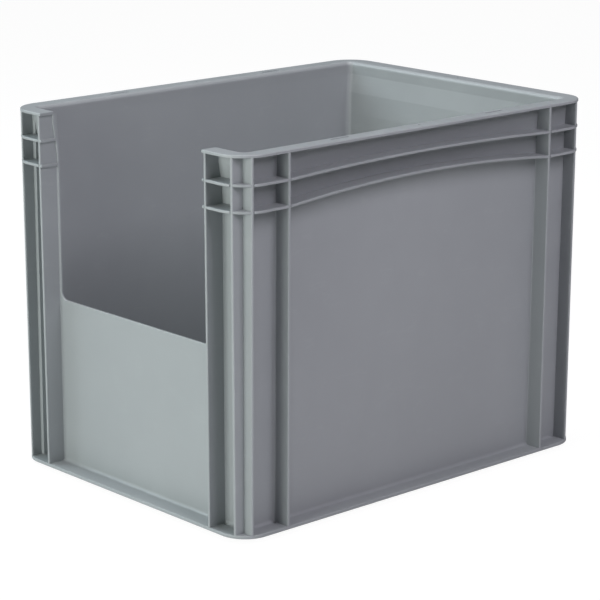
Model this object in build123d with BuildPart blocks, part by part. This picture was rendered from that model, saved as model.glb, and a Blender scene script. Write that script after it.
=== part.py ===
from build123d import *
import os

# Open-fronted stacking container, 400 x 300 mm footprint: one rigid plastic moulding.
# The moulding is written as its natural regions (floor, walls, rim, ribs, fins), which meet
# face to face, so each region is a simple solid that can be read, checked and changed alone.
# Frame: origin at the centre of the footprint on the ground, +Z up. The short end with the
# pick opening faces -Y, so the long sides face -X (left) and +X (right).

# ---- overall sizes (millimetres) ----
length = 400.0              # along Y, outside the rim
width = 300.0               # along X, outside the rim
body_height = 310.0         # underside of the base flange to the top of the rim
foot_height = 5.0           # stacking foot below the base flange
corner_radius = 26.0        # outline of rim, ribs and flange, seen from above
mould_draft = 1.5           # the outline is this much smaller at the flange, on each side

# ---- walls ----
wall = 2.2                  # thickness, apart from the thicker top
side_wall_top = 2.7         # thickness of the long walls under the rim
end_wall_top = 4.0          # thickness of the short walls under the rim
end_wall_step = 3.2         # the same at the bottom of the step
end_wall_shoulder = 2.6     # the same at the shoulder
inside_corner_radius = 4.5
side_recess_top = 13.9      # outline to the outer face of a long wall, under the rim
side_recess_step = 14.8     # the same at the bottom of the step
side_recess_shoulder = 15.1
side_recess_foot = 17.2     # the same at the flange
end_recess_top = 13.5       # the same four on the short walls
end_recess_step = 16.5
end_recess_shoulder = 17.8
end_recess_foot = 18.4
step_top_drop = 9.0         # rim underside to the top of the soft step in the wall
step_bottom_drop = 26.0     # rim underside to the bottom of the step
shoulder_drop = 46.0        # rim underside to the shoulder, where the plain wall begins
foot_blend = 3.0            # fillet where the walls stand on the flange
inside_edge_radius = 3.5    # rounding of the rim into the inside of the walls

# ---- rim, ribs and flange ----
rim_thickness = 2.3
rib_thickness = 2.4
flange_thickness = 3.0
upper_rib_drop = 22.75      # rim underside to rib underside, at the corners
lower_rib_drop = 43.9
upper_rib_rise = 4.05       # bow of the long-side ribs at mid length
lower_rib_rise = 7.9
edge_radius = 0.8           # rounding of outer edges
fin_edge_radius = 0.9       # rounding of the fin noses
cut_edge_radius = 0.7       # rounding of the cut edge round the pick opening

# ---- corner fins, measured from the outline of the neighbouring side ----
fin_thickness = 2.4
end_fin_inset = 41.3        # inner fin on a short side, in from the long side
side_fin_inset = 49.6       # inner fin on a long side, in from the short side
web_inset = 13.3            # corner fin that runs forward beside the long wall
flag_inset = 13.8           # corner fin that stands out sideways from it

# ---- pick opening in the front ----
panel_height = 147.4        # flange underside to the sill of the opening
opening_corner_radius = 6.0
wall_return = 1.3           # wall left standing past the inner fin
rib_return = 1.9            # rim and ribs left standing past the inner fin

# ---- base ----
floor_thickness = 2.5
foot_wall = 2.5
foot_corner_radius = 8.0
stacking_clearance = 2.0    # foot to the inside of the rim of the container below
drain_radius = 1.6
drain_wall_gap = 0.3        # wall to the edge of a drain hole
drain_fin_gap = 0.4         # fin to the edge of a drain hole

# ---- marks in the rim of the long sides ----
mark_depth = 0.8
mark_width = 2.4
mark_slot_length = 20.0
mark_slot_spread = 88.0     # middle of the rim to the middle of each slot
mark_inset = 9.5            # outline to the line of the marks

# ---- worked-out levels and places ----
flange_bottom = foot_height
flange_top = flange_bottom + flange_thickness
rim_top = foot_height + body_height
rim_bottom = rim_top - rim_thickness
step_top = rim_bottom - step_top_drop
step_bottom = rim_bottom - step_bottom_drop
shoulder = rim_bottom - shoulder_drop
sill = flange_bottom + panel_height
half_width = width / 2
half_length = length / 2
end_fin_back = end_fin_inset + fin_thickness
side_fin_back = side_fin_inset + fin_thickness
opening_half_width = half_width - end_fin_back - wall_return
rib_end = half_width - end_fin_back - rib_return
foot_side_inset = side_recess_top + side_wall_top + stacking_clearance
foot_end_inset = end_recess_top + end_wall_top + stacking_clearance
margin = 2.0                # how far cutting shapes run past what they cut
near = 0.1                  # how near to a face an edge counts as lying on it
web_reach = end_recess_foot + wall + inside_corner_radius + fin_thickness
sides = ("front", "right", "rear", "left")
rib_levels = (
    ("upper", rim_bottom - upper_rib_drop, upper_rib_rise),
    ("lower", rim_bottom - lower_rib_drop, lower_rib_rise),
)

os.makedirs("parts", exist_ok=True)


def write(piece, name):
    """Label a finished region and write its STEP file."""
    piece.label = name
    export_step(piece, f"parts/{name}.step")


def outline(level, side_inset, end_inset, radius):
    """Rounded rectangle set in from the rim's outline, drawn at one height."""
    with BuildSketch(Plane.XY.offset(level)) as drawn:
        RectangleRounded(width - 2 * side_inset, length - 2 * end_inset, radius)
    return drawn.sketch


def slab(low, high, side_inset, end_inset, radius):
    """Rounded block between two heights."""
    with BuildPart() as block:
        extrude(outline(low, side_inset, end_inset, radius), amount=high - low)
    return block.part


def box(x_low, x_high, y_low, y_high, low, high):
    """Square block between two corners."""
    with BuildPart() as block:
        with BuildSketch(Plane.XY.offset(low)):
            with Locations(((x_low + x_high) / 2, (y_low + y_high) / 2)):
                Rectangle(x_high - x_low, y_high - y_low)
        extrude(amount=high - low)
    return block.part


def wall_loft(levels, radius):
    """Solid through rounded rectangles, each given by its height and its two insets."""
    sections = [outline(z, side_inset, end_inset, radius) for z, side_inset, end_inset in levels]
    with BuildPart() as lofted:
        loft([section.face() for section in sections], ruled=True)
    return lofted.part


def mitre(side):
    """Tall block that takes one side of a ring, cut at 45 degrees through the corners."""
    reach_x = half_width + margin
    reach_y = half_length + margin
    depth = end_fin_inset + margin
    across = side in ("front", "rear")
    turn = -1 if side in ("front", "left") else 1
    if across:
        points = (
            (-reach_x, turn * reach_y),
            (reach_x, turn * reach_y),
            (reach_x - depth, turn * (reach_y - depth)),
            (depth - reach_x, turn * (reach_y - depth)),
        )
    else:
        points = (
            (turn * reach_x, -reach_y),
            (turn * reach_x, reach_y),
            (turn * (reach_x - depth), reach_y - depth),
            (turn * (reach_x - depth), depth - reach_y),
        )
    with BuildPart() as block:
        with BuildSketch():
            with BuildLine():
                Polyline(*points, close=True)
            make_face()
        extrude(amount=rim_top + margin)
    return block.part


def common(first, second):
    """The part that two solids share."""
    with BuildPart() as shared:
        add(first)
        add(second, mode=Mode.INTERSECT)
    return shared.part


# ---- shapes that the regions are cut from ----
with BuildPart() as envelope:
    bottom_outline = outline(flange_bottom, mould_draft, mould_draft, corner_radius - mould_draft)
    top_outline = outline(rim_top, 0, 0, corner_radius)
    loft([bottom_outline.face(), top_outline.face()])

mitres = {side: mitre(side) for side in sides}

# Outer shape of the walls, flared where it stands on the flange.
outside_levels = (
    (flange_top, side_recess_foot, end_recess_foot),
    (shoulder, side_recess_shoulder, end_recess_shoulder),
    (step_bottom, side_recess_step, end_recess_step),
    (step_top, side_recess_top, end_recess_top),
    (rim_bottom, side_recess_top, end_recess_top),
)
with BuildPart() as wall_outside:
    add(wall_loft(outside_levels, inside_corner_radius + wall))
    add(slab(flange_bottom, flange_top, mould_draft, mould_draft, corner_radius))
    ledge = wall_outside.faces().filter_by_position(Axis.Z, flange_top, flange_top)[0]
    fillet(ledge.inner_wires()[0].edges(), foot_blend)
    add(slab(0, flange_top, -margin, -margin, corner_radius), mode=Mode.SUBTRACT)

# Everything outside the storage space, with the rim rounded into the inside of the walls.
inside_levels = (
    (flange_top - margin, side_recess_foot + wall, end_recess_foot + wall),
    (flange_top, side_recess_foot + wall, end_recess_foot + wall),
    (shoulder, side_recess_shoulder + wall, end_recess_shoulder + end_wall_shoulder),
    (step_bottom, side_recess_step + wall, end_recess_step + end_wall_step),
    (step_top, side_recess_top + side_wall_top, end_recess_top + end_wall_top),
    (rim_top + margin, side_recess_top + side_wall_top, end_recess_top + end_wall_top),
)
with BuildPart() as lining:
    add(slab(flange_top, rim_top, -margin, -margin, corner_radius + margin))
    add(wall_loft(inside_levels, inside_corner_radius), mode=Mode.SUBTRACT)
    top_face = lining.faces().sort_by(Axis.Z)[-1]
    fillet(top_face.inner_wires()[0].edges(), inside_edge_radius)

# Drain holes at the foot of the walls, beside the inner fin on each side of each corner.
drains = (
    (
        half_width - end_fin_inset + drain_fin_gap + drain_radius,
        half_length - end_recess_foot + drain_wall_gap + drain_radius,
    ),
    (
        half_width - side_recess_foot + drain_wall_gap + drain_radius,
        half_length - side_fin_inset + drain_fin_gap + drain_radius,
    ),
)
with BuildPart() as drain_holes:
    with BuildSketch(Plane.XY.offset(flange_bottom)):
        with Locations(*[(i * x, j * y) for x, y in drains for i in (-1, 1) for j in (-1, 1)]):
            Circle(drain_radius)
    extrude(amount=flange_thickness + foot_blend)

# The walls as one ring, with the pick opening cut out of the front.
with BuildPart() as walls:
    add(wall_outside.part)
    add(lining.part, mode=Mode.INTERSECT)
    opening_top = rim_top + opening_corner_radius + margin
    with BuildSketch(Plane.XZ.offset(half_length - 2 * web_reach)):
        with Locations((0, (sill + opening_top) / 2)):
            RectangleRounded(2 * opening_half_width, opening_top - sill, opening_corner_radius)
    extrude(amount=2 * web_reach, mode=Mode.SUBTRACT)
    cut_edges = walls.edges().filter_by(
        lambda edge: abs(edge.center().X) < opening_half_width + near
        and edge.center().Y < web_reach - half_length
        and sill - near < edge.center().Z < rim_bottom - near
        and edge.length > end_wall_top
    )
    fillet(cut_edges, cut_edge_radius)
    add(drain_holes.part, mode=Mode.SUBTRACT)

# Ribs follow the outline at their own height; their outer edges are rounded.
rib_plates = {}
for level_name, underside, _ in rib_levels:
    with BuildPart() as plate:
        add(slab(underside, underside + rib_thickness, -margin, -margin, corner_radius + margin))
        add(envelope.part, mode=Mode.INTERSECT)
        fillet(plate.edges(), edge_radius)
    rib_plates[level_name] = plate.part

# ---- fins of the front right corner, mirrored to the other three ----
with BuildPart() as between_flange_and_rim:
    add(envelope.part)
    add(slab(flange_top, rim_bottom, -margin, -margin, corner_radius), mode=Mode.INTERSECT)
    add(wall_outside.part, mode=Mode.SUBTRACT)


def fin(x_low, x_high, y_low, y_high, outward):
    """Upright plate cut to the outline and the wall, with its nose rounded."""
    with BuildPart() as plate:
        add(box(x_low, x_high, y_low, y_high, flange_top, rim_bottom))
        add(between_flange_and_rim.part, mode=Mode.INTERSECT)
        uprights = plate.edges().filter_by(lambda edge: edge.length > body_height / 2)
        nose = uprights.sort_by(outward)[-2:]
        fillet(nose, fin_edge_radius)
    return plate.part


toward_front = Axis((0, 0, 0), (0, -1, 0))
web_back = half_width - web_inset
flag_front = flag_inset - half_length
flag_back = flag_front + fin_thickness
root_side = half_width - side_recess_foot - fin_thickness
root_levels = [(level, side_inset, flag_inset) for level, side_inset, _ in outside_levels]
with BuildPart() as corner_root:
    add(box(root_side, half_width, flag_back, web_reach - half_length, flange_top, rim_bottom))
    add(wall_loft(root_levels, near), mode=Mode.INTERSECT)
    add(wall_outside.part, mode=Mode.SUBTRACT)

corner_fins = {
    "end_fin": fin(
        half_width - end_fin_back, half_width - end_fin_inset,
        -half_length - margin, web_reach - half_length, toward_front,
    ),
    "corner_web": fin(
        web_back - fin_thickness, web_back, -half_length - margin, flag_front, toward_front,
    ),
    "corner_flag": fin(root_side, half_width + margin, flag_front, flag_back, Axis.X),
    "side_fin": fin(
        half_width - web_reach, half_width + margin,
        side_fin_inset - half_length, side_fin_back - half_length, Axis.X,
    ),
}
corners = (
    ("front_right", False, False),
    ("front_left", True, False),
    ("rear_right", False, True),
    ("rear_left", True, True),
)


def to_corner(shape, flip_x, flip_y):
    """A front right piece mirrored to another corner."""
    moved = shape
    if flip_x:
        moved = mirror(moved, about=Plane.YZ, mode=Mode.PRIVATE)
    if flip_y:
        moved = mirror(moved, about=Plane.XZ, mode=Mode.PRIVATE)
    return moved


for corner_name, flip_x, flip_y in corners:
    for fin_name, shape in (*corner_fins.items(), ("corner_root", corner_root.part)):
        with BuildPart() as placed:
            add(to_corner(shape, flip_x, flip_y))
        write(placed.part, f"{fin_name}_{corner_name}")

# ---- ribs round the corners, one node of separate stubs per corner ----
front_line = -half_length - margin
bay_limits = (
    (half_width - end_fin_inset, web_back - fin_thickness, front_line, flag_front),
    (half_width - end_fin_inset, root_side, flag_front, web_reach - half_length),
    (web_back, half_width + margin, front_line, flag_front),
    (root_side, half_width + margin, flag_back, web_reach - half_length),
    (
        half_width - web_reach, half_width + margin,
        web_reach - half_length, side_fin_inset - half_length,
    ),
)
stub_limits = (rib_end, half_width - end_fin_back, front_line, web_reach - half_length)
for corner_name, flip_x, flip_y in corners:
    limits = bay_limits if flip_y else bay_limits + (stub_limits,)
    with BuildPart() as bays:
        for x_low, x_high, y_low, y_high in limits:
            add(box(x_low, x_high, y_low, y_high, sill, rim_bottom))
    with BuildPart() as stubs:
        for plate in rib_plates.values():
            add(plate)
        add(to_corner(bays.part, flip_x, flip_y), mode=Mode.INTERSECT)
        add(wall_outside.part, mode=Mode.SUBTRACT)
        add(to_corner(corner_root.part, flip_x, flip_y), mode=Mode.SUBTRACT)
    write(stubs.part, f"corner_ribs_{corner_name}")

# ---- bowed ribs along the long sides, straight ribs across the rear ----
for level_name, underside, rise in rib_levels:
    half_span = half_length - side_fin_back
    with BuildPart() as bowed:
        with BuildSketch(Plane.YZ.offset(half_width - web_reach)):
            with BuildLine():
                ThreePointArc((-half_span, underside), (0, underside + rise), (half_span, underside))
                Line((half_span, underside), (half_span, underside + rib_thickness))
                ThreePointArc(
                    (half_span, underside + rib_thickness),
                    (0, underside + rise + rib_thickness),
                    (-half_span, underside + rib_thickness),
                )
                Line((-half_span, underside + rib_thickness), (-half_span, underside))
            make_face()
        extrude(amount=web_reach + margin)
        add(envelope.part, mode=Mode.INTERSECT)
        long_edges = bowed.edges().filter_by(lambda edge: edge.length > half_span)
        fillet(long_edges.sort_by(Axis.X)[-2:], edge_radius)
        add(wall_outside.part, mode=Mode.SUBTRACT)
    write(bowed.part, f"{level_name}_rib_right")
    with BuildPart() as bowed_left:
        add(mirror(bowed.part, about=Plane.YZ, mode=Mode.PRIVATE))
    write(bowed_left.part, f"{level_name}_rib_left")

    half_rear = half_width - end_fin_back
    with BuildPart() as straight:
        add(rib_plates[level_name])
        add(
            box(
                -half_rear, half_rear, half_length - web_reach, half_length + margin,
                sill, rim_bottom,
            ),
            mode=Mode.INTERSECT,
        )
        add(wall_outside.part, mode=Mode.SUBTRACT)
    write(straight.part, f"{level_name}_rib_rear")

# ---- walls, cut apart at the corners and beside the sill ----
panel_half = opening_half_width - opening_corner_radius - margin
for side in sides:
    run = common(walls.part, mitres[side])
    if side != "front":
        write(run, f"{side}_wall")
        continue
    for name, x_low, x_high in (
        ("front_post_left", -half_width, -panel_half),
        ("front_panel", -panel_half, panel_half),
        ("front_post_right", panel_half, half_width),
    ):
        slice_box = box(x_low, x_high, -half_length, 0, flange_bottom, rim_top)
        write(common(run, slice_box), name)

# ---- rim ----
with BuildPart() as rim:
    add(slab(rim_bottom, rim_top, -margin, -margin, corner_radius + margin))
    add(envelope.part, mode=Mode.INTERSECT)
    fillet(rim.edges().group_by(Axis.Z)[-1], edge_radius)
    add(lining.part, mode=Mode.INTERSECT)
    front_strip = box(
        -rib_end, rib_end, -half_length - margin, end_recess_top - half_length,
        rim_bottom, rim_top,
    )
    add(front_strip, mode=Mode.SUBTRACT)
    add(
        box(
            -opening_half_width, opening_half_width, end_recess_top - half_length,
            web_reach - half_length, rim_bottom, rim_top,
        ),
        mode=Mode.SUBTRACT,
    )
    mark_x = half_width - mark_inset
    with BuildSketch(Plane.XY.offset(rim_top)):
        with Locations(
            *[(x, y) for x in (-mark_x, mark_x) for y in (-mark_slot_spread, mark_slot_spread)]
        ):
            SlotOverall(mark_slot_length, mark_width, rotation=90)
        with Locations((-mark_x, 0), (mark_x, 0), (0, half_length - mark_inset)):
            Circle(mark_width / 2)
    extrude(amount=-mark_depth, mode=Mode.SUBTRACT)

for side in sides:
    run = common(rim.part, mitres[side])
    if side != "front":
        write(run, f"rim_{side}")
        continue
    for name, low, high in (("left", -half_width, 0), ("right", 0, half_width)):
        write(
            common(run, box(low, high, -half_length, 0, rim_bottom, rim_top)),
            f"rim_front_{name}",
        )

# ---- base: flange with drain holes, stacking foot and floor ----
with BuildPart() as flange:
    add(slab(flange_bottom, flange_top, -margin, -margin, corner_radius + margin))
    add(envelope.part, mode=Mode.INTERSECT)
    fillet(flange.edges().group_by(Axis.Z)[0] + flange.edges().group_by(Axis.Z)[-1], edge_radius)
    add(drain_holes.part, mode=Mode.SUBTRACT)
    add(
        slab(flange_bottom, flange_top, foot_side_inset, foot_end_inset, foot_corner_radius),
        mode=Mode.SUBTRACT,
    )
with BuildPart() as foot:
    add(slab(floor_thickness, flange_top, foot_side_inset, foot_end_inset, foot_corner_radius))
    add(
        slab(
            floor_thickness, flange_top, foot_side_inset + foot_wall, foot_end_inset + foot_wall,
            foot_corner_radius - foot_wall,
        ),
        mode=Mode.SUBTRACT,
    )
for side in sides:
    write(common(flange.part, mitres[side]), f"base_flange_{side}")
    write(common(foot.part, mitres[side]), f"stacking_foot_{side}")

with BuildPart() as floor:
    add(slab(0, floor_thickness, foot_side_inset, foot_end_inset, foot_corner_radius))
    fillet(floor.edges().group_by(Axis.Z)[0], edge_radius)
write(floor.part, "floor")
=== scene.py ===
import math

import bmesh
import bpy
from mathutils import Euler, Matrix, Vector


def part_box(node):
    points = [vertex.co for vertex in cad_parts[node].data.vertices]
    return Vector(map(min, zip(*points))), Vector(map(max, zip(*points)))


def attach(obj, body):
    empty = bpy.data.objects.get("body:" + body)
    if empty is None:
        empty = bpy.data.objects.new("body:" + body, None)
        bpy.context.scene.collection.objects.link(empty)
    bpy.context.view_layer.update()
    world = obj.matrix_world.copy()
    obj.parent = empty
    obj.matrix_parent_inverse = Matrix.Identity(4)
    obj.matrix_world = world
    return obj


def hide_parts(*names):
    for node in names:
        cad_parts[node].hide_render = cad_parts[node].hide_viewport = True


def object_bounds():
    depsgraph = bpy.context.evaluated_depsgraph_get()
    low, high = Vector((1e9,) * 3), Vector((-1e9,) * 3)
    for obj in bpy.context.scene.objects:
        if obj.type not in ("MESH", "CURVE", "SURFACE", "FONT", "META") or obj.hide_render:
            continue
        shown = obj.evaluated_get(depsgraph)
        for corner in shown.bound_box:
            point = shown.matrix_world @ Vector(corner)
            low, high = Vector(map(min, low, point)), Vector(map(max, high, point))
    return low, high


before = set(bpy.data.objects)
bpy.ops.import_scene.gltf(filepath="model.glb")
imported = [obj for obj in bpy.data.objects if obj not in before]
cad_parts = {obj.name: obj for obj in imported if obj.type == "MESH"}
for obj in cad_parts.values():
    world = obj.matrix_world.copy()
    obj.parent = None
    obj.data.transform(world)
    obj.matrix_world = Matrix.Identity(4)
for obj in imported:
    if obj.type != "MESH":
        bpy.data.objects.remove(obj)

bl_info = {
    "name": "Open-front stacking container",
    "version": (1, 0, 0),
    "blender": (4, 5, 0),
    "location": "3D View > Sidebar > Container",
    "description": "Finishes the moulded container and stages it for a product picture",
    "category": "Object",
}

CAD_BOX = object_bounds()
LOW, HIGH = CAD_BOX
CENTRE = (LOW + HIGH) / 2
MM = 0.001
CORNERS = ((1, -1), (-1, -1), (1, 1), (-1, 1))
STRIP_SEGMENTS = 48         # points along a bowed rib
NOSE_SEGMENTS = 5           # points round a rib's nose
MARK_VERTICES = 40          # points round an ejector mark
ROOT_HOLLOW = 0.3           # how far a root fillet bulges, as a share of its reach
ROOT_BOTTOM = 10 * MM       # where the root fillets start above the ground
ROOT_GAP = 1 * MM           # root fillet's end to the underside of the lower rib
WELD_DISTANCE = 0.01 * MM
SHARP_ANGLE = math.radians(40)
MARK_SPREAD = (0.7, 0.74)   # marks' grid as a share of the floor, across and along
FLOOR_REACH = 6.0           # half the side of the backdrop, in metres
FLOOR_TURN = ((-1, -1), (1, -1), (1, 1), (-1, 1))
LAMP_DISTANCE = 2.2         # lamps to the container's centre, in metres
PLASTIC_IOR = 1.49

# Name, azimuth and elevation in degrees, size in metres, power in watts, tint.
LAMPS = (
    ("front_light", 0, 12, 1.2, 36.0, (0.986, 1.03, 0.978)),
    ("left_light", -60, 38, 1.2, 22.0, (0.888, 1.028, 1.088)),
    ("right_light", 90, 40, 1.2, 28.5, (0.99, 0.93, 1.02)),
    ("overhead_light", 0, 90, 0.6, 27.0, (1.0, 1.0, 1.0)),
)


def node_box(name):
    """Lowest and highest corner of a CAD node."""
    low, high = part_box(name)
    return Vector(low), Vector(high)


# ---------------------------------------------------------------- node graphs


class Signal:
    """A socket that can be written in a Python expression."""

    def __init__(self, graph, socket):
        self.graph, self.socket = graph, socket

    def maths(self, operation, *values, clamp=False):
        settings = {"operation": operation, "use_clamp": clamp}
        return self.graph.node("ShaderNodeMath", settings, dict(enumerate(values)))

    def __add__(self, other):
        return self.maths("ADD", self, other)

    def __sub__(self, other):
        return self.maths("SUBTRACT", self, other)

    def __mul__(self, other):
        return self.maths("MULTIPLY", self, other)

    def __rsub__(self, other):
        return self.maths("SUBTRACT", other, self)

    __radd__ = __add__
    __rmul__ = __mul__

    def clamped(self):
        return self.maths("ADD", self, 0.0, clamp=True)

    def __truediv__(self, other):
        return self.maths("DIVIDE", self, other)

    def magnitude(self):
        return self.maths("ABSOLUTE", self)

    def above(self, threshold):
        return self.maths("GREATER_THAN", self, threshold)


class Graph:
    """A node tree that is filled in by one method."""

    def __init__(self, tree):
        self.tree = tree

    def node(self, kind, settings=None, values=None, output=0):
        """Add a node: its settings first, then its sockets by name or number."""
        made = self.tree.nodes.new(kind)
        for key, value in (settings or {}).items():
            setattr(made, key, value)
        for key, value in (values or {}).items():
            if isinstance(value, Signal):
                self.tree.links.new(value.socket, made.inputs[key])
            else:
                made.inputs[key].default_value = value
        return Signal(self, made.outputs[output]) if made.outputs else made


# ---------------------------------------------------------------- the plastic


def moulded_plastic(name, dark, light, roughness):
    """Grey injection-moulded polypropylene with a fine grain, faint flow marks and scuffs."""
    material = bpy.data.materials.new(name)
    material.use_nodes = True
    graph = Graph(material.node_tree)
    surface = material.node_tree.nodes["Principled BSDF"]
    place = graph.node("ShaderNodeTexCoord", output=3)

    def noise(scale, detail, stretch=(1, 1, 1)):
        point = graph.node("ShaderNodeMapping", {}, {"Vector": place, "Scale": stretch})
        return graph.node(
            "ShaderNodeTexNoise", {}, {"Vector": point, "Scale": scale, "Detail": detail}
        )

    broad = noise(5.0, 2.0)
    cloud = noise(38.0, 4.0)
    flow = noise(22.0, 3.0, (1.0, 1.0, 0.18))
    grain = noise(1150.0, 2.0)
    scratch = noise(9.0, 6.0, (1.0, 1.0, 5.0))
    scuff = (0.012 - (scratch - 0.5).magnitude()).above(0.0) * (cloud - 0.55).above(0.0)
    tone = 0.5 + (broad - 0.5) * 0.9 + (cloud - 0.5) * 0.35 + (flow - 0.5) * 0.3
    tone = (tone + (grain - 0.5) * 0.12 + scuff * 0.18).clamped()
    colour = graph.node(
        "ShaderNodeMix", {"data_type": "RGBA"}, {0: tone, 6: (*dark, 1), 7: (*light, 1)}, output=2
    )
    gloss = (roughness + (cloud - 0.5) * 0.14 + (grain - 0.5) * 0.1 + scuff * 0.12).clamped()
    relief = grain * 0.5 + cloud * 0.9 + flow * 0.6
    bump = graph.node(
        "ShaderNodeBump", {}, {"Strength": 0.35, "Distance": 0.00018, "Height": relief}
    )
    for socket, signal in (("Base Color", colour), ("Roughness", gloss), ("Normal", bump)):
        material.node_tree.links.new(signal.socket, surface.inputs[socket])
    surface.inputs["IOR"].default_value = PLASTIC_IOR
    return material


# ---------------------------------------------------------------- geometry trees


def open_tree(name, vectors=(), floats=(), whole=()):
    """A new geometry tree with named inputs: its graph, and its inputs by name."""
    tree = bpy.data.node_groups.new(name, "GeometryNodeTree")
    tree.interface.new_socket("Geometry", in_out="OUTPUT", socket_type="NodeSocketGeometry")
    for kind, labels in (("Vector", vectors), ("Float", floats), ("Int", whole)):
        for label in labels:
            tree.interface.new_socket(label, in_out="INPUT", socket_type=f"NodeSocket{kind}")
    graph = Graph(tree)
    group = tree.nodes.new("NodeGroupInput")
    size = {socket.name: Signal(graph, socket) for socket in group.outputs if socket.name}
    return graph, size


def close_tree(graph, shape, material):
    """End a geometry tree in real geometry of one material."""
    real = graph.node("GeometryNodeRealizeInstances", {}, {"Geometry": shape})
    done = graph.node("GeometryNodeSetMaterial", {}, {"Geometry": real, "Material": material})
    output = graph.tree.nodes.new("NodeGroupOutput")
    graph.tree.links.new(done.socket, output.inputs[0])
    return graph.tree


def strip_tree(material):
    """Tree that sweeps a four-cornered profile along a straight line, then leans and bows it."""
    graph, size = open_tree(
        "moulded_strip",
        vectors=("Start", "End", "Lean", "Bow", "Point 1", "Point 2", "Point 3", "Point 4"),
        floats=("Nose Radius",), whole=("Segments",),
    )

    def vector(operation, *values, output=0):
        return graph.node(
            "ShaderNodeVectorMath", {"operation": operation}, dict(enumerate(values)), output
        )

    line = graph.node(
        "GeometryNodeCurvePrimitiveLine", {}, {"Start": size["Start"], "End": size["End"]}
    )
    spine = graph.node("GeometryNodeResampleCurve", {}, {"Curve": line, "Count": size["Segments"]})
    square = graph.node(
        "GeometryNodeCurvePrimitiveQuadrilateral", {"mode": "POINTS"},
        {f"Point {i}": size[f"Point {i}"] for i in (1, 2, 3, 4)},
    )
    profile = graph.node(
        "GeometryNodeFilletCurve", {"mode": "POLY"},
        {
            "Curve": square, "Count": NOSE_SEGMENTS,
            "Radius": size["Nose Radius"], "Limit Radius": True,
        },
    )
    swept = graph.node(
        "GeometryNodeCurveToMesh", {},
        {"Curve": spine, "Profile Curve": profile, "Fill Caps": True},
    )
    along = vector("SUBTRACT", size["End"], size["Start"])
    point = graph.node("GeometryNodeInputPosition")
    reach = vector("DOT_PRODUCT", vector("SUBTRACT", point, size["Start"]), along, output=1)
    share = reach / vector("DOT_PRODUCT", along, along, output=1)
    bowed = share * (1 - share) * 4
    leaning, bowing = (
        graph.node("ShaderNodeVectorMath", {"operation": "SCALE"}, {0: size[label], "Scale": amount})
        for label, amount in (("Lean", share), ("Bow", bowed))
    )
    offset = vector("ADD", leaning, bowing)
    shaped = graph.node("GeometryNodeSetPosition", {}, {"Geometry": swept, "Offset": offset})
    return close_tree(graph, shaped, material)


def marks_tree(material):
    """Tree that sets a grid of low chamfered discs on a flat face."""
    graph, size = open_tree(
        "ejector_marks", floats=("Size X", "Size Y", "Radius", "Height", "Level"),
        whole=("Columns", "Rows"),
    )
    grid = graph.node(
        "GeometryNodeMeshGrid", {},
        {
            "Size X": size["Size X"], "Size Y": size["Size Y"],
            "Vertices X": size["Columns"], "Vertices Y": size["Rows"],
        },
    )
    disc = graph.node(
        "GeometryNodeMeshCone", {},
        {
            "Vertices": MARK_VERTICES, "Side Segments": 1, "Fill Segments": 1,
            "Radius Top": size["Radius"] - size["Height"], "Radius Bottom": size["Radius"],
            "Depth": size["Height"],
        },
    )
    set_out = graph.node("GeometryNodeInstanceOnPoints", {}, {"Points": grid, "Instance": disc})
    real = graph.node("GeometryNodeRealizeInstances", {}, {"Geometry": set_out})
    lift = graph.node("ShaderNodeCombineXYZ", {}, {"Z": size["Level"]})
    raised = graph.node("GeometryNodeSetPosition", {}, {"Geometry": real, "Offset": lift})
    return close_tree(graph, raised, material)


def grown(tree, sizes):
    """The plain mesh that a tree makes from its named sizes."""
    carrier = bpy.data.objects.new("carrier", bpy.data.meshes.new("carrier"))
    bpy.context.scene.collection.objects.link(carrier)
    modifier = carrier.modifiers.new("shape", "NODES")
    modifier.node_group = tree
    for item in tree.interface.items_tree:
        if item.in_out == "INPUT":
            modifier[item.identifier] = sizes[item.name]
    depsgraph = bpy.context.evaluated_depsgraph_get()
    mesh = bpy.data.meshes.new_from_object(carrier.evaluated_get(depsgraph), depsgraph=depsgraph)
    bpy.data.objects.remove(carrier)
    if not mesh.polygons:
        raise RuntimeError(f"{tree.name} made nothing")
    return mesh


def finished_piece(name, meshes, material, replaced=()):
    """Join meshes into one piece on the container's body, facing outwards."""
    shape = bmesh.new()
    for mesh in meshes:
        shape.from_mesh(mesh)
        bpy.data.meshes.remove(mesh)
    bmesh.ops.remove_doubles(shape, verts=shape.verts, dist=WELD_DISTANCE)
    bmesh.ops.recalc_face_normals(shape, faces=shape.faces)
    for face in shape.faces:
        face.smooth = True
        face.material_index = 0
    mesh = bpy.data.meshes.new(name)
    shape.to_mesh(mesh)
    shape.free()
    mesh.materials.append(material)
    mesh.set_sharp_from_angle(angle=SHARP_ANGLE)
    piece = bpy.data.objects.new(name, mesh)
    bpy.context.scene.collection.objects.link(piece)
    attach(piece, "root")
    if replaced:
        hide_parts(*replaced)
    return piece


# ---------------------------------------------------------------- properties


class ContainerPlasticSettings(bpy.types.PropertyGroup):
    """The moulding's colour and finish."""

    dark: bpy.props.FloatVectorProperty(
        name="Dark tone", description="Darker end of the plastic's colour",
        default=(0.255, 0.274, 0.285), subtype="COLOR",
    )
    light: bpy.props.FloatVectorProperty(
        name="Light tone", description="Lighter end of the plastic's colour",
        default=(0.305, 0.326, 0.337), subtype="COLOR",
    )
    roughness: bpy.props.FloatProperty(
        name="Roughness", description="Mean roughness of the surface", default=0.45,
        subtype="FACTOR", min=0.0, max=1.0,
    )


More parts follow.
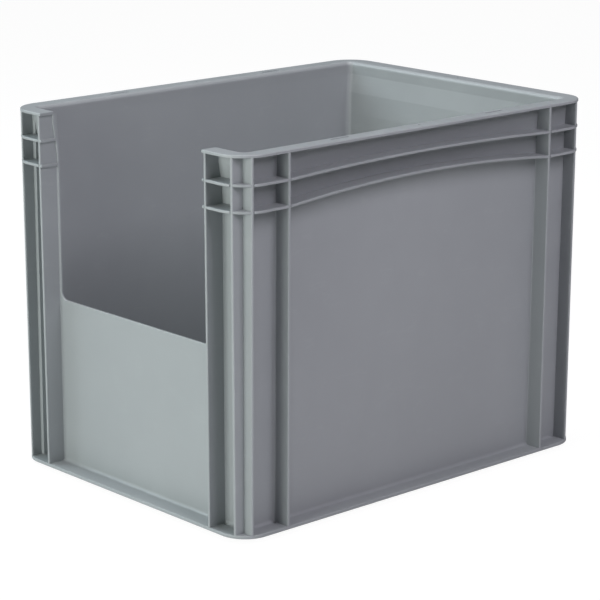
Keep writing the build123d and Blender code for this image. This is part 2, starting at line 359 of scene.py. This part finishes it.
class ContainerRibSettings(bpy.types.PropertyGroup):
    """The bowed ribs on the long sides."""

    bow_upper: bpy.props.FloatProperty(
        name="Upper bow", description="Rise of the upper rib at mid length",
        default=4.05 * MM, unit="LENGTH",
    )
    bow_lower: bpy.props.FloatProperty(
        name="Lower bow", description="Rise of the lower rib at mid length",
        default=7.9 * MM, unit="LENGTH",
    )
    thickness: bpy.props.FloatProperty(
        name="Thickness", description="Thickness of a rib", default=2.4 * MM, unit="LENGTH"
    )
    nose_radius: bpy.props.FloatProperty(
        name="Nose radius", description="Rounding of a rib's outer edge",
        default=0.85 * MM, unit="LENGTH",
    )
    root_depth: bpy.props.FloatProperty(
        name="Root depth", description="How far a rib runs into the wall behind it",
        default=1.2 * MM, unit="LENGTH",
    )


class ContainerRootSettings(bpy.types.PropertyGroup):
    """The small fillets where the inner fins meet the walls."""

    radius: bpy.props.FloatProperty(
        name="Radius", description="Reach of a root fillet", default=1.1 * MM, unit="LENGTH"
    )
    sink: bpy.props.FloatProperty(
        name="Sink", description="How far a root fillet runs into fin and wall",
        default=0.5 * MM, unit="LENGTH",
    )
    side_line: bpy.props.FloatVectorProperty(
        name="Long wall", description="Centre to the long wall's outside, at foot and head",
        default=(132.85 * MM, 134.9 * MM), size=2, unit="LENGTH", precision=4,
    )
    end_line: bpy.props.FloatVectorProperty(
        name="Short wall", description="Centre to the short wall's outside, at foot and head",
        default=(181.65 * MM, 182.2 * MM), size=2, unit="LENGTH", precision=4,
    )


class ContainerMarkSettings(bpy.types.PropertyGroup):
    """The ejector marks on the inside of the floor."""

    radius: bpy.props.FloatProperty(
        name="Radius", description="Radius of a mark", default=5.0 * MM, unit="LENGTH"
    )
    height: bpy.props.FloatProperty(
        name="Height", description="Height of a mark over the floor", default=0.3 * MM,
        unit="LENGTH",
    )
    columns: bpy.props.IntProperty(name="Columns", description="Marks across", default=3, min=2)
    rows: bpy.props.IntProperty(name="Rows", description="Marks along", default=4, min=2)


class ContainerStageSettings(bpy.types.PropertyGroup):
    """The camera, the lights and the floor."""

    lens: bpy.props.FloatProperty(
        name="Lens", description="Focal length of the camera", default=142.999, unit="CAMERA"
    )
    azimuth: bpy.props.FloatProperty(
        name="Azimuth", description="Camera's turn round the container, from the open front",
        default=math.radians(47.7595), subtype="ANGLE",
    )
    elevation: bpy.props.FloatProperty(
        name="Elevation", description="Camera's height angle above the horizon",
        default=math.radians(14.6637), subtype="ANGLE",
    )
    roll: bpy.props.FloatProperty(
        name="Roll", description="Camera's turn about its own line of sight",
        default=math.radians(0.0819), subtype="ANGLE",
    )
    distance: bpy.props.FloatProperty(
        name="Distance", description="Camera to the point it aims at", default=2.07898,
        unit="LENGTH",
    )
    aim: bpy.props.FloatVectorProperty(
        name="Aim", description="Offset from the container's centre to the aimed point",
        default=(-0.00112, -0.0018, -0.01715), subtype="TRANSLATION",
    )
    floor_colour: bpy.props.FloatVectorProperty(
        name="Floor colour", description="Colour of the plain floor",
        default=(0.6, 0.6, 0.6), subtype="COLOR",
    )
    floor_glow: bpy.props.FloatProperty(
        name="Floor glow", description="Share of plain white in the floor as the camera sees it",
        default=0.9, subtype="FACTOR", min=0.0, max=1.0,
    )


# ---------------------------------------------------------------- operators


def plastic():
    return bpy.data.materials["grey_polypropylene"]


class CONTAINER_OT_plastic(bpy.types.Operator):
    """Mix the grey plastic and give it to every region of the moulding"""

    bl_idname = "container.plastic"
    bl_label = "Plastic"

    def execute(self, context):
        chosen = context.scene.container_plastic
        material = moulded_plastic(
            "grey_polypropylene", tuple(chosen.dark), tuple(chosen.light), chosen.roughness
        )
        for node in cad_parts.values():
            node.data.materials.clear()
            node.data.materials.append(material)
        return {"FINISHED"}


class CONTAINER_OT_ribs(bpy.types.Operator):
    """Sweep the bowed ribs along both long sides"""

    bl_idname = "container.ribs"
    bl_label = "Bowed ribs"

    def execute(self, context):
        chosen = context.scene.container_ribs
        tree = strip_tree(plastic())
        for level, bow in (("upper", chosen.bow_upper), ("lower", chosen.bow_lower)):
            for side, turn in (("right", 1), ("left", -1)):
                name = f"{level}_rib_{side}"
                low, high = node_box(name)
                outer = max(abs(low.x), abs(high.x))
                inner = min(abs(low.x), abs(high.x)) - chosen.root_depth
                profile = (
                    (turn * inner, -low.z), (turn * outer, -low.z),
                    (turn * outer, -low.z - chosen.thickness),
                    (turn * inner, -low.z - chosen.thickness),
                )
                sizes = {f"Point {i + 1}": (*point, 0) for i, point in enumerate(profile)}
                sizes.update({
                    "Start": (0, low.y, 0), "End": (0, high.y, 0), "Lean": (0, 0, 0),
                    "Bow": (0, 0, bow), "Nose Radius": chosen.nose_radius,
                    "Segments": STRIP_SEGMENTS,
                })
                finished_piece(f"bowed_{name}", [grown(tree, sizes)], plastic(), (name,))
        return {"FINISHED"}


class CONTAINER_OT_roots(bpy.types.Operator):
    """Run small fillets up both sides of every inner fin"""

    bl_idname = "container.roots"
    bl_label = "Root fillets"

    def execute(self, context):
        chosen = context.scene.container_roots
        tree = bpy.data.node_groups["moulded_strip"]
        reach, sink = chosen.radius, chosen.sink
        top = node_box("lower_rib_right")[0].z - ROOT_GAP
        side_fin = node_box("side_fin_rear_right")
        end_fin = node_box("end_fin_rear_right")
        walls = {"side": chosen.side_line, "end": chosen.end_line}
        for turn_x, turn_y in CORNERS:
            corner = f"{'rear' if turn_y > 0 else 'front'}_{'right' if turn_x > 0 else 'left'}"
            meshes = []
            for low_side in (True, False):
                away = -1 if low_side else 1
                for kind in ("side", "end"):
                    foot, head = walls[kind]
                    if kind == "side":
                        face = (side_fin[0].y if low_side else side_fin[1].y)
                        wall_at, fin_at = (turn_x * foot, turn_y * face)
                        out, across = (turn_x, 0), (0, turn_y * away)
                        lean = (turn_x * (head - foot), 0, 0)
                    else:
                        face = (end_fin[0].x if low_side else end_fin[1].x)
                        wall_at, fin_at = (turn_x * face, turn_y * foot)
                        out, across = (0, turn_y), (turn_x * away, 0)
                        lean = (0, turn_y * (head - foot), 0)

                    def place(up, over):
                        return (
                            wall_at + out[0] * up + across[0] * over,
                            fin_at + out[1] * up + across[1] * over,
                            0,
                        )

                    profile = (
                        place(-sink, -sink), place(reach, -sink),
                        place(ROOT_HOLLOW * reach, ROOT_HOLLOW * reach), place(-sink, reach),
                    )
                    sizes = {f"Point {i + 1}": point for i, point in enumerate(profile)}
                    sizes.update({
                        "Start": (0, 0, ROOT_BOTTOM), "End": (0, 0, top), "Lean": lean,
                        "Bow": (0, 0, 0), "Nose Radius": 0.0, "Segments": 2,
                    })
                    meshes.append(grown(tree, sizes))
            finished_piece(f"fin_roots_{corner}", meshes, plastic())
        return {"FINISHED"}


class CONTAINER_OT_marks(bpy.types.Operator):
    """Set the ejector marks on the inside of the floor"""

    bl_idname = "container.marks"
    bl_label = "Ejector marks"

    def execute(self, context):
        chosen = context.scene.container_marks
        low, high = node_box("floor")
        sizes = {
            "Size X": (high.x - low.x) * MARK_SPREAD[0],
            "Size Y": (high.y - low.y) * MARK_SPREAD[1],
            "Radius": chosen.radius, "Height": chosen.height, "Level": high.z,
            "Columns": chosen.columns, "Rows": chosen.rows,
        }
        finished_piece("ejector_marks", [grown(marks_tree(plastic()), sizes)], plastic())
        return {"FINISHED"}


class CONTAINER_OT_stage(bpy.types.Operator):
    """Add the floor, the soft studio lights and the camera"""

    bl_idname = "container.stage"
    bl_label = "Stage"

    def execute(self, context):
        settings = context.scene.container_stage
        mesh = bpy.data.meshes.new("floor")
        corners = [(x * FLOOR_REACH, y * FLOOR_REACH, 0) for x, y in FLOOR_TURN]
        mesh.from_pydata(corners, [], [(0, 1, 2, 3)])
        floor = bpy.data.objects.new("studio_floor", mesh)
        context.scene.collection.objects.link(floor)
        mesh.materials.append(self.paper(settings))

        world = bpy.data.worlds.new("studio")
        world.use_nodes = True
        world.node_tree.nodes["Background"].inputs["Strength"].default_value = 0.0
        context.scene.world = world
        for name, azimuth, elevation, across, power, tint in LAMPS:
            lamp = bpy.data.lights.new(name, "AREA")
            lamp.size, lamp.energy, lamp.color = across, power, tint
            lamp_object = bpy.data.objects.new(name, lamp)
            context.scene.collection.objects.link(lamp_object)
            turn, rise = math.radians(azimuth), math.radians(elevation)
            out = Vector((
                math.sin(turn) * math.cos(rise), -math.cos(turn) * math.cos(rise), math.sin(rise)
            ))
            lamp_object.location = CENTRE + out * LAMP_DISTANCE
            lamp_object.rotation_mode = "QUATERNION"
            lamp_object.rotation_quaternion = (-out).to_track_quat("-Z", "Y")

        data = bpy.data.cameras.new("camera")
        data.lens = settings.lens
        data.sensor_width = 36
        data.shift_x, data.shift_y = 0.00024, 0.0001
        data.clip_end = 50
        camera = bpy.data.objects.new("camera", data)
        context.scene.collection.objects.link(camera)
        azimuth, elevation = settings.azimuth, settings.elevation
        back = Vector((
            math.sin(azimuth) * math.cos(elevation),
            -math.cos(azimuth) * math.cos(elevation),
            math.sin(elevation),
        ))
        camera.location = CENTRE + Vector(settings.aim) + back * settings.distance
        camera.rotation_mode = "QUATERNION"
        turn = (-back).to_track_quat("-Z", "Y")
        camera.rotation_quaternion = turn @ Euler((0, 0, settings.roll)).to_quaternion()
        context.scene.camera = camera
        context.scene.view_settings.view_transform = "Standard"
        return {"FINISHED"}

    def paper(self, settings):
        """White backdrop paper that keeps only a faint shadow where the camera sees it."""
        material = bpy.data.materials.new("backdrop_paper")
        material.use_nodes = True
        graph = Graph(material.node_tree)
        surface = material.node_tree.nodes["Principled BSDF"]
        surface.inputs["Base Color"].default_value = (*settings.floor_colour, 1)
        surface.inputs["Roughness"].default_value = 0.9
        seen = graph.node("ShaderNodeLightPath")
        white = graph.node(
            "ShaderNodeEmission", {}, {"Color": (1, 1, 1, 1), "Strength": 1.07}
        )
        mixed = graph.node("ShaderNodeMixShader", {}, {0: seen * settings.floor_glow, 2: white})
        links = material.node_tree.links
        links.new(surface.outputs[0], mixed.socket.node.inputs[1])
        links.new(mixed.socket, material.node_tree.nodes["Material Output"].inputs["Surface"])
        return material


class CONTAINER_PT_panel(bpy.types.Panel):
    """Lists the container's steps and sizes in the sidebar."""

    bl_label = "Container"
    bl_space_type = "VIEW_3D"
    bl_region_type = "UI"
    bl_category = "Container"

    def draw(self, context):
        for step, group in STEPS:
            box = self.layout.box()
            box.operator(step.bl_idname)
            settings = getattr(context.scene, group)
            for name in settings.__annotations__:
                box.prop(settings, name)


STEPS = (
    (CONTAINER_OT_plastic, "container_plastic"),
    (CONTAINER_OT_ribs, "container_ribs"),
    (CONTAINER_OT_roots, "container_roots"),
    (CONTAINER_OT_marks, "container_marks"),
    (CONTAINER_OT_stage, "container_stage"),
)
SETTINGS = {
    "container_plastic": ContainerPlasticSettings,
    "container_ribs": ContainerRibSettings,
    "container_roots": ContainerRootSettings,
    "container_marks": ContainerMarkSettings,
    "container_stage": ContainerStageSettings,
}
CLASSES = (*SETTINGS.values(), *(step for step, _ in STEPS), CONTAINER_PT_panel)


def register():
    for cls in CLASSES:
        bpy.utils.register_class(cls)
    for name, group in SETTINGS.items():
        setattr(bpy.types.Scene, name, bpy.props.PointerProperty(type=group))


def unregister():
    for name in SETTINGS:
        delattr(bpy.types.Scene, name)
    for cls in reversed(CLASSES):
        bpy.utils.unregister_class(cls)


def main():
    register()
    bpy.ops.container.plastic()
    bpy.ops.container.ribs()
    bpy.ops.container.roots()
    bpy.ops.container.marks()
    bpy.ops.container.stage()
    bpy.context.view_layer.update()


if __name__ == "__main__":
    main()
